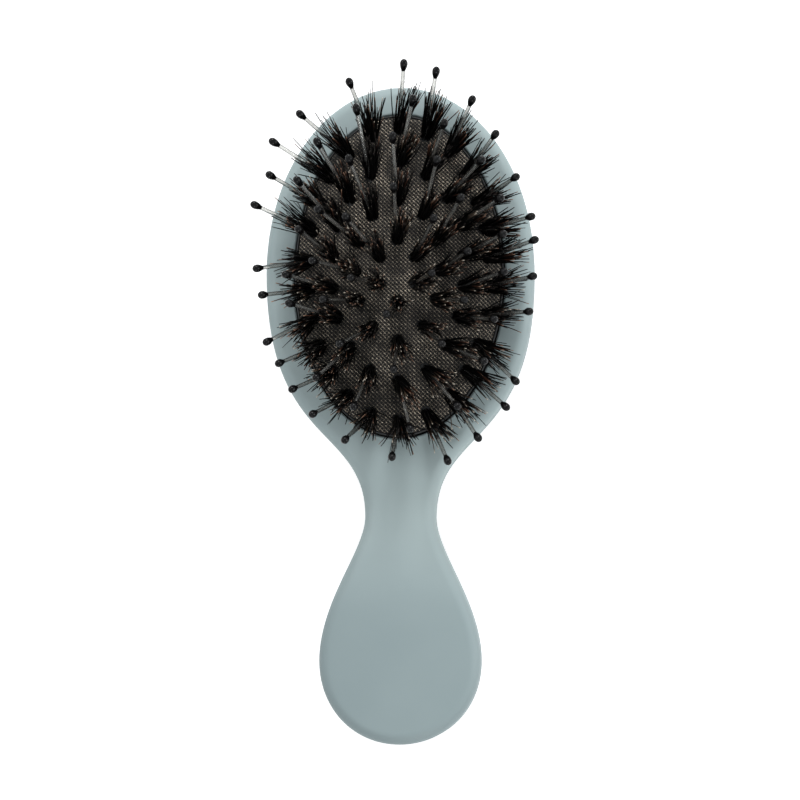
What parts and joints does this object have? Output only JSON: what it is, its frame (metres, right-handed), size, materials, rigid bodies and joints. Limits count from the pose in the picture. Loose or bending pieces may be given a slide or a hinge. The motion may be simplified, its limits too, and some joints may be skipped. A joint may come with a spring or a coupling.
{
  "type": "cushion hair brush",
  "caption": "Small oval cushion hairbrush: boar bristle tufts with ball-tipped nylon pins on an air-cushioned rubber pad, in a hollow moulded head with a paddle handle",
  "frame": {"origin": "on the flat back of the body, half way along it and on its middle line", "axes": "+Z out of the back through the bristles, +Y from the handle to the head, +X to the right seen from the bristle side with the head up"},
  "size_m": [0.0598, 0.1419, 0.0328],
  "materials": {
    "shell_plastic": "soft matte, pale blue-grey",
    "tray_plastic": "moulded, black",
    "black_rubber": "matt black",
    "woven_cloth": "coarse plain weave, dark grey-brown",
    "boar_bristle": "natural hair, black to copper brown",
    "nylon": "translucent white shaft, black ball tip"
  },
  "bodies": {
    "handle_body": {"back_shell": "shell_plastic", "front_shell": "shell_plastic", "cushion_tray": "tray_plastic", "cushion_pad": "black_rubber", "facing_cloth": "woven_cloth"},
    "centre_ring": {"centre_tufts": "boar_bristle"},
    "inner_ring": {"inner_tufts": "boar_bristle"},
    "middle_ring": {"middle_tufts": "boar_bristle", "middle_pin_01": "nylon", "middle_pin_02": "nylon", "middle_pin_03": "nylon", "middle_pin_04": "nylon", "middle_pin_05": "nylon", "middle_pin_06": "nylon", "middle_pin_07": "nylon", "middle_pin_08": "nylon", "middle_pin_09": "nylon", "middle_pin_10": "nylon", "middle_pin_11": "nylon", "middle_pin_12": "nylon", "middle_pin_13": "nylon", "middle_pin_14": "nylon", "middle_pin_15": "nylon", "middle_pin_16": "nylon", "middle_pin_17": "nylon", "middle_pin_18": "nylon"},
    "outer_ring": {"outer_tufts": "boar_bristle", "outer_pin_01": "nylon", "outer_pin_02": "nylon", "outer_pin_03": "nylon", "outer_pin_04": "nylon", "outer_pin_05": "nylon", "outer_pin_06": "nylon", "outer_pin_07": "nylon", "outer_pin_08": "nylon", "outer_pin_09": "nylon", "outer_pin_10": "nylon", "outer_pin_11": "nylon", "outer_pin_12": "nylon", "outer_pin_13": "nylon", "outer_pin_14": "nylon", "outer_pin_15": "nylon", "outer_pin_16": "nylon", "outer_pin_17": "nylon", "outer_pin_18": "nylon", "outer_pin_19": "nylon", "outer_pin_20": "nylon", "outer_pin_21": "nylon", "outer_pin_22": "nylon", "outer_pin_23": "nylon", "outer_pin_24": "nylon", "outer_pin_25": "nylon", "outer_pin_26": "nylon"}
  },
  "joints": [
    {"name": "cushion_press", "type": "slide", "parent": "handle_body", "child": "centre_ring", "axis": [0, 0, -1], "range_m": [0, 0.003], "stiffness_N_per_m": 1500, "deforming": ["cushion_pad", "facing_cloth"]},
    {"name": "inner_press", "type": "slide", "parent": "handle_body", "child": "inner_ring", "axis": [0, 0, -1], "range_m": [0, 0.0028], "stiffness_N_per_m": 1500},
    {"name": "middle_press", "type": "slide", "parent": "handle_body", "child": "middle_ring", "axis": [0, 0, -1], "range_m": [0, 0.00231], "stiffness_N_per_m": 1500},
    {"name": "outer_press", "type": "slide", "parent": "handle_body", "child": "outer_ring", "axis": [0, 0, -1], "range_m": [0, 0.0015], "stiffness_N_per_m": 1500}
  ],
  "couplings": [
    {"joint": "inner_press", "follows": "cushion_press", "ratio": 0.93},
    {"joint": "middle_press", "follows": "cushion_press", "ratio": 0.77},
    {"joint": "outer_press", "follows": "cushion_press", "ratio": 0.5}
  ]
}
